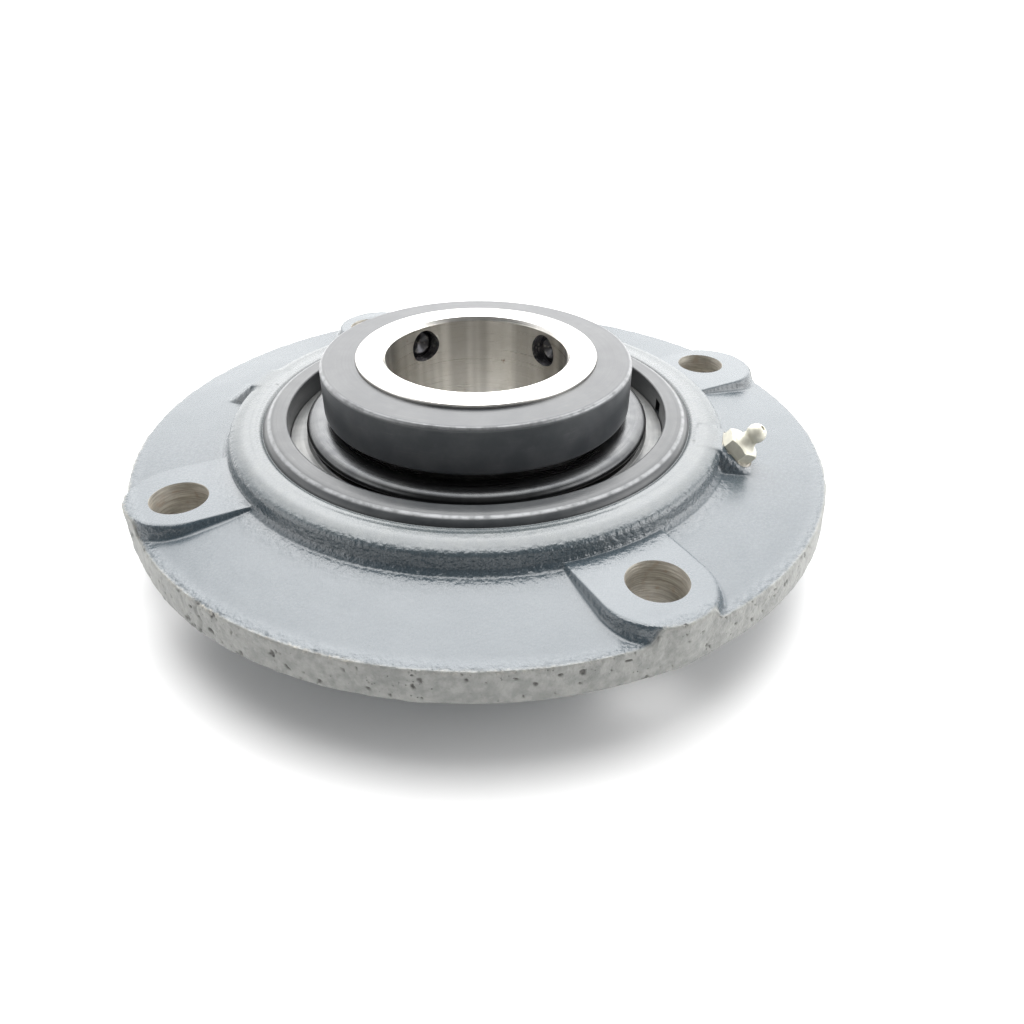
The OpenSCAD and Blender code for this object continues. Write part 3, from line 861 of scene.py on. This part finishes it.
# ---------------------------------------------------------------- insert
def race_points(centre_r, reach):
    """Arc of a ball groove as far as reach to each side of the middle of the insert."""
    side = 1 if centre_r < PITCH_R else -1
    heights = np.linspace(-reach, reach, 17)
    return [(centre_r + side * math.sqrt(RACE_R**2 - z**2), MID_Z + z) for z in heights]


def build_outer_ring():
    """Outer ring: ball-shaped outside, deep recess at each end, ball groove in the middle."""
    half = (OUTER_HIGH.z - OUTER_LOW.z) / 2
    groove = PITCH_R + BALL_R + BALL_GAP - RACE_R
    reach = math.sqrt(RACE_R**2 - (OUTER_LAND_R - groove) ** 2)
    corners = [(OUTER_LAND_R, MID_Z - SEAL_FLOOR, 0.3)]
    corners += race_points(groove, reach)
    corners += [
        (OUTER_LAND_R, MID_Z + SEAL_FLOOR, 0.3),
        (RECESS_R, MID_Z + SEAL_FLOOR, 0.4),
        (RECESS_R, OUTER_HIGH.z, 0.7),
    ]
    crown = ((69.3, 0), (70.3, 0.09), (71.3, 0.36), (72.2, 0.85), (72.9, 1.5))
    corners += [(r, OUTER_HIGH.z - drop) for r, drop in crown]
    top = half - 2.2
    for z in np.linspace(top, -top, 19):
        corners.append((math.sqrt(INSERT_R**2 - z**2), MID_Z + z))
    corners += [
        (73.0, OUTER_LOW.z, 1.1),
        (RECESS_R, OUTER_LOW.z, 0.7),
        (RECESS_R, MID_Z - SEAL_FLOOR, 0.4),
    ]
    piece = turned("outer_ring_turned", corners, RING_SEGMENTS)
    floor = MID_Z + SEAL_FLOOR
    notch = box_cutter("pry_notch", (RECESS_R - 1, -2.5, floor + 1.6), (RECESS_R + 1.6, 2.5, floor + 6.2))
    carve(piece, placed(notch, turn_about(PRY_TURN, "Z")))
    finish_piece(piece, MATERIALS["ring"], "outer_insert", "black_oxide", "outer_ring")


def box_cutter(name, low, high):
    """A block between two corners, used only to cut."""
    mesh = bpy.data.meshes.new(name)
    work = bmesh.new()
    bmesh.ops.create_cube(work, size=1)
    size = Vector(high) - Vector(low)
    middle = (Vector(high) + Vector(low)) / 2
    for v in work.verts:
        v.co = Vector(v.co[i] * size[i] + middle[i] for i in range(3)) * MM
    work.to_mesh(mesh)
    work.free()
    return add_object(name, mesh)


def thread_grid(z, radius, depth):
    """Rows round an axis whose radius follows a screw thread. A negative depth cuts inwards."""
    angle = np.linspace(0, 2 * math.pi, THREAD_SEGMENTS, endpoint=False)[None, :]
    phase = (z[:, None] / SCREW_PITCH - angle / (2 * math.pi)) % 1
    tooth = np.clip((np.abs(phase * 2 - 1) - 0.12) / 0.76, 0, 1)
    r = radius + depth * tooth
    return np.stack([r * np.cos(angle), r * np.sin(angle), z[:, None] + 0 * angle], -1)


def screw_hole_cutter():
    """The tapped hole of a set screw, from inside the bore out past the collar."""
    z = np.arange(BORE_R - 3, SCREW_TIP + 4, SCREW_PITCH / 10)
    start = [(0, BORE_R - 3.1), (SCREW_HOLE_R, BORE_R - 3.1)]
    mouth = [
        (SCREW_HOLE_R, SCREW_TIP + 4.2), (SCREW_HOLE_R, COLLAR_R - 0.5), (SCREW_HOLE_R + 2.5, COLLAR_R + 2),
        (0, COLLAR_R + 2),
    ]
    thread = thread_grid(z, SCREW_HOLE_R, 0.45)
    rows = [ring_grid(start, THREAD_SEGMENTS), thread, ring_grid(mouth, THREAD_SEGMENTS)]
    return skin("screw_hole", np.concatenate(rows))


def tap_screw_holes(piece, material):
    """Gives a piece its material, and a tapped hole for each set screw."""
    piece.data.materials.append(material)
    cutters = [placed(screw_hole_cutter(), at_screw(turn)) for turn in SCREW_TURNS.values()]
    for cutter in cutters:
        cutter.data.materials.append(MATERIALS["screw"])
    carve(piece, *cutters)


def build_inner_ring():
    """Inner ring: ground bore, ball groove, flinger seats and the neck that carries the collar."""
    groove = PITCH_R - BALL_R - BALL_GAP + RACE_R
    reach = math.sqrt(RACE_R**2 - (groove - INNER_LAND_R) ** 2)
    corners = [
        (BORE_R, INNER_LOW.z, 0.8),
        (FLINGER_SEAT_R, INNER_LOW.z, 0.8),
        (FLINGER_SEAT_R, MID_Z - LAND_HALF, 0.2),
        (INNER_LAND_R, MID_Z - LAND_HALF, 0.4),
    ]
    corners += race_points(groove, reach)
    corners += [
        (INNER_LAND_R, MID_Z + LAND_HALF, 0.4),
        (FLINGER_SEAT_R, MID_Z + LAND_HALF, 0.2),
        (FLINGER_SEAT_R, COLLAR_LOW.z, 0.3),
        (NECK_R, COLLAR_LOW.z, 0.2),
        (NECK_R, INNER_HIGH.z, 0.55),
        (BORE_R + 1.1, INNER_HIGH.z, 0.35),
        (BORE_R, INNER_HIGH.z - 1.3, 0.35),
    ]
    piece = turned("inner_ring_ground", corners, RING_SEGMENTS)
    tap_screw_holes(piece, MATERIALS["steel"])
    finish_piece(piece, None, "inner_insert", "bright_steel", "inner_ring")


def build_collar():
    """Locking collar with broken edges and a tapped hole for each set screw."""
    inside = NECK_R + 0.03
    corners = [
        (inside, COLLAR_LOW.z, 0.5),
        (COLLAR_R, COLLAR_LOW.z, 1.0),
        (COLLAR_R, COLLAR_HIGH.z, 1.5),
        (inside, COLLAR_HIGH.z, 0.12),
    ]
    piece = turned("locking_collar_turned", corners, RING_SEGMENTS)
    tap_screw_holes(piece, MATERIALS["collar"])
    finish_piece(piece, None, "inner_insert", "black_oxide", "locking_collar")


def build_set_screws():
    """Cup-point set screws with real threads and a hexagon socket."""
    tip = [
        (0, SCREW_TIP + 1.7), (1.0, SCREW_TIP + 1.45), (3.3, SCREW_TIP + 0.15), (3.7, SCREW_TIP),
        (4.2, SCREW_TIP + 0.05), (SCREW_R - 0.55, SCREW_TIP + 0.85),
    ]
    tail = [(SCREW_R - 0.6, SCREW_TAIL - 0.4), (SCREW_R - 1.1, SCREW_TAIL), (0, SCREW_TAIL)]
    over = SCREW_TAIL + 1
    socket = [(0, SCREW_TAIL - 7.6), (SOCKET_R, SCREW_TAIL - 6.8), (SOCKET_R, over), (0, over)]
    flare = [(0, SCREW_TAIL - 1.2), (2.6, SCREW_TAIL - 0.7), (4.1, SCREW_TAIL + 0.8), (0, SCREW_TAIL + 0.8)]
    thread = thread_grid(np.arange(SCREW_TIP + 0.9, SCREW_TAIL - 0.6, SCREW_PITCH / 10), SCREW_R, -0.7)
    rows = [ring_grid(tip, THREAD_SEGMENTS), thread, ring_grid(tail, THREAD_SEGMENTS)]
    for name, turn in SCREW_TURNS.items():
        piece = skin(name + "_threaded", np.concatenate(rows), sharp_angle=32)
        carve(piece, rod("socket", socket, 6))
        carve(piece, rod("flare", flare, 48))
        placed(piece, at_screw(turn))
        finish_piece(piece, MATERIALS["screw"], name, "screw_black", name)


def build_seals_and_flingers():
    """Stamped seal cases, their rubber lips and the flingers, at both ends of the insert."""
    z = SEAL_LOW.z
    case = [
        (51.6, z + 0.75), (58.2, z + 0.75, 0.5), (59.2, z, 0.5), (RECESS_R - 0.05, z, 0.3),
        (RECESS_R - 0.05, z + 1.3, 0.3), (59.7, z + 1.3, 0.6), (58.7, z + 2.05, 0.5), (51.6, z + 2.05),
    ]
    lip = [
        (51.6, z + 0.75), (51.6, z + 2.05), (50.2, z + 2.05, 0.2), (49.3, z + 2.4, 0.2),
        (INNER_LAND_R + 0.08, z + 2.2, 0.1), (INNER_LAND_R + 0.08, z + 1.7, 0.1), (49.8, z + 0.75, 0.3),
    ]
    f = FLINGER_LOW.z
    flinger = [
        (FLINGER_SEAT_R, f, 0.2), (48.1, f, 0.3), (48.1, f + 3.3, 0.8), (56.9, f + 3.0, 0.8),
        (57.6, f + 1.6, 0.4), (58.9, f + 1.3, 0.4), (59.4, f + 1.9), (59.4, f + 2.5), (59.25, f + 3.0),
        (58.9, f + 3.5), (58.4, f + 3.93), (57.8, f + 4.3), (57.0, f + 4.6), (56.0, f + 4.83),
        (54.6, f + 5.0), (53.0, f + 5.1), (50.0, f + 5.18), (FLINGER_SEAT_R, f + 5.2, 0.3),
    ]
    sheets = (
        ("_seal_case", "_pressed", case, "seal", "outer_insert", "seal_steel"),
        ("_seal_lip", "_moulded", lip, "rubber", "outer_insert", "seal_rubber"),
        ("_flinger", "_pressed", flinger, "flinger", "inner_insert", "flinger_steel"),
    )
    for end in ("upper", "lower"):
        for part, how, corners, material, body, slot in sheets:
            piece = turned(end + part + how, corners if end == "upper" else flipped(corners))
            finish_piece(piece, MATERIALS[material], body, slot, end + part)


# ---------------------------------------------------------------- grease fitting
def build_grease_fitting():
    """Fitting with a chamfered hexagon, a waisted neck and a ball head with an open mouth."""
    angle = np.linspace(0, 2 * math.pi, 120, endpoint=False)
    hexagon = HEXAGON_HALF / np.cos((angle + math.pi / 6) % (math.pi / 3) - math.pi / 6)
    rows = []

    def add(r, z):
        rows.append(np.stack([r * np.cos(angle), r * np.sin(angle), z + 0 * angle], -1))

    for r, z in ((1.1, -7), (1.1, -8), (4.6, -8), (5.05, -7.5)):
        add(r, z)
    for z in np.linspace(-7, 0, 6):
        add(5.1, z)
    steps = [np.linspace(0, 0.5, 5), np.linspace(0.8, 3.1, 5), np.linspace(3.2, HEXAGON_TOP, 9)]
    for z in np.concatenate(steps):
        cone = HEXAGON_HALF + min(0.55 + 1.9 * z, 1.65 * (HEXAGON_TOP - z) - 0.1)
        add(np.minimum(hexagon, cone), z)
    neck = (
        (4.75, HEXAGON_TOP), (4.3, 4.3), (3.8, 4.65), (3.35, 5.15), (3.0, 5.75), (2.8, 6.3), (2.7, 6.7),
    )
    for r, z in neck:
        add(r, z)
    for turn in np.radians(np.linspace(-34, 63, 18)):
        add(HEAD_R * math.cos(turn), HEAD_Z + HEAD_R * math.sin(turn))
    mouth = (
        (1.3, 11.98), (1.02, 11.95), (0.92, 11.8), (0.9, 10.3), (1.72, 9.25), (1.75, 9.0), (1.75, -7),
    )
    for r, z in mouth:
        add(r, z)
    piece = skin("grease_fitting_plated", np.stack(rows), closed=True, sharp_angle=30)
    placed(piece, at_fitting())
    finish_piece(piece, MATERIALS["zinc"], "housing", "zinc_plate", "grease_fitting")


def build_check_spring():
    """Coil spring under the check ball, spanning the heights of the CAD spring."""
    place = at_fitting()
    inside = place.inverted()
    heights = [(inside @ (v.co / MM)).z for v in frame["nodes"]["grease_check_spring"].data.vertices]
    low, high = min(heights), max(heights)
    turn = np.linspace(0, SPRING_TURNS * 2 * math.pi, SPRING_TURNS * 40)
    centre = np.linspace(low + SPRING_WIRE_R, high - SPRING_WIRE_R, len(turn))
    wire = np.full(len(turn), SPRING_WIRE_R)
    wire[[0, -1]] = 0
    around = np.linspace(0, 2 * math.pi, 12, endpoint=False)
    r = SPRING_R + wire[:, None] * np.cos(around)
    z = centre[:, None] + wire[:, None] * np.sin(around)
    grid = np.stack([r * np.cos(turn)[:, None], r * np.sin(turn)[:, None], z], -1)
    piece = placed(skin("check_spring_wire", grid), place)
    finish_piece(piece, MATERIALS["pin"], "housing", "pin_steel", "grease_check_spring")
    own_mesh(piece)


def dress_hidden_nodes():
    """Balls, cage, pin and check ball keep their CAD shape and get their own finish."""
    finishes = {
        "cage": MATERIALS["cage"],
        "ball": MATERIALS["ball"],
        "alignment": MATERIALS["pin"],
        "grease_check_ball": MATERIALS["ball"],
    }
    for name, node in frame["nodes"].items():
        for start, material in finishes.items():
            if name.startswith(start):
                node.data.materials.clear()
                node.data.materials.append(material)


# ---------------------------------------------------------------- stage
def build_floor():
    """A wide floor, a hair's breadth below the pilot's face so that the two don't coincide."""
    mesh = bpy.data.meshes.new("studio_floor")
    z = (HOUSING_LOW.z - 0.05) * MM
    corners = [(x * FLOOR_REACH, y * FLOOR_REACH, z) for x, y in ((-1, -1), (1, -1), (1, 1), (-1, 1))]
    mesh.from_pydata(corners, [], [(0, 1, 2, 3)])
    floor = add_object("studio_floor", mesh)
    mesh.materials.append(pale_floor())


def build_world():
    """A studio lit by soft lobes of light, before a white backdrop."""
    world = bpy.data.worlds.new("studio")
    bpy.context.scene.world = world
    world.use_nodes = True
    tree = world.node_tree
    tree.nodes.clear()
    output = tree.nodes.new("ShaderNodeOutputWorld")
    background = tree.nodes.new("ShaderNodeBackground")
    plain = tree.nodes.new("ShaderNodeBackground")
    for node in (background, plain):
        node.inputs["Color"].default_value = (1, 1, 1, 1)
    plain.inputs["Strength"].default_value = BACKDROP
    where = tree.nodes.new("ShaderNodeTexCoord")
    total = AMBIENT
    for direction, middle, edge, radiance in LIGHTS:
        towards = tree.nodes.new("ShaderNodeVectorMath")
        towards.operation = "DOT_PRODUCT"
        towards.inputs[1].default_value = Vector(direction).normalized()
        tree.links.new(where.outputs["Generated"], towards.inputs[0])
        glow = tree.nodes.new("ShaderNodeMapRange")
        glow.interpolation_type = "SMOOTHSTEP"
        limits = (math.cos(math.radians(edge)), math.cos(math.radians(middle)), 0.0, radiance)
        for socket, value in zip(RANGE_SOCKETS, limits):
            glow.inputs[socket].default_value = value
        tree.links.new(towards.outputs["Value"], glow.inputs["Value"])
        add = tree.nodes.new("ShaderNodeMath")
        tree.links.new(glow.outputs[0], add.inputs[0])
        if isinstance(total, float):
            add.inputs[1].default_value = total
        else:
            tree.links.new(total, add.inputs[1])
        total = add.outputs[0]
    tree.links.new(total, background.inputs["Strength"])
    seen = tree.nodes.new("ShaderNodeLightPath")
    either = tree.nodes.new("ShaderNodeMixShader")
    tree.links.new(seen.outputs["Is Camera Ray"], either.inputs[0])
    tree.links.new(background.outputs[0], either.inputs[1])
    tree.links.new(plain.outputs[0], either.inputs[2])
    tree.links.new(either.outputs[0], output.inputs[0])


def build_camera():
    yaw = math.radians(CAMERA_YAW)
    pitch = math.radians(CAMERA_PITCH)
    ahead = Vector((math.sin(yaw) * math.cos(pitch), math.cos(yaw) * math.cos(pitch), math.sin(pitch)))
    level = Vector((math.cos(yaw), -math.sin(yaw), 0))
    right = Matrix.Rotation(-math.radians(CAMERA_ROLL), 3, ahead) @ level
    up = right.cross(ahead)
    data = bpy.data.cameras.new("camera")
    data.sensor_width = 36
    data.lens = CAMERA_LENS
    data.clip_start = 0.01
    data.clip_end = 100
    camera = bpy.data.objects.new("camera", data)
    camera.matrix_world = Matrix.Translation(CAMERA_AT) @ Matrix((right, up, -ahead)).transposed().to_4x4()
    bpy.context.scene.collection.objects.link(camera)
    bpy.context.scene.camera = camera


MATERIALS = {
    "ring": black_oxide(
        "ring_oxide", (0.022, 0.025, 0.028), (0.045, 0.048, 0.05),
        marks=0.35, roughness=0.30, corner=(71.5, OUTER_HIGH.z - 0.8), ior=1.5,
    ),
    "collar": black_oxide(
        "collar_oxide", (0.030, 0.033, 0.037), (0.048, 0.051, 0.054),
        marks=0.15, roughness=0.28, corner=(COLLAR_R - 0.45, COLLAR_HIGH.z - 0.3), ior=1.46,
    ),
    "steel": ground_steel(),
    "ball": polished_ball(),
    "cage": pressed_steel("cage_sheet", (0.42, 0.40, 0.36), (0.55, 0.53, 0.48), 0.35),
    "seal": pressed_steel("seal_sheet", (0.12, 0.123, 0.123), (0.17, 0.17, 0.166), 0.45),
    "flinger": pressed_steel("flinger_sheet", (0.055, 0.057, 0.06), (0.085, 0.087, 0.088), 0.24),
    "rubber": seal_rubber(),
    "screw": black_screw(),
    "zinc": zinc_plate(),
    "pin": pressed_steel("ground_pin", (0.50, 0.50, 0.50), (0.60, 0.60, 0.59), 0.2),
}

build_camera()
build_world()
build_floor()
build_housing()
build_outer_ring()
build_inner_ring()
build_collar()
build_set_screws()
build_seals_and_flingers()
build_grease_fitting()
build_check_spring()
dress_hidden_nodes()

bpy.context.scene.view_settings.view_transform = "Standard"
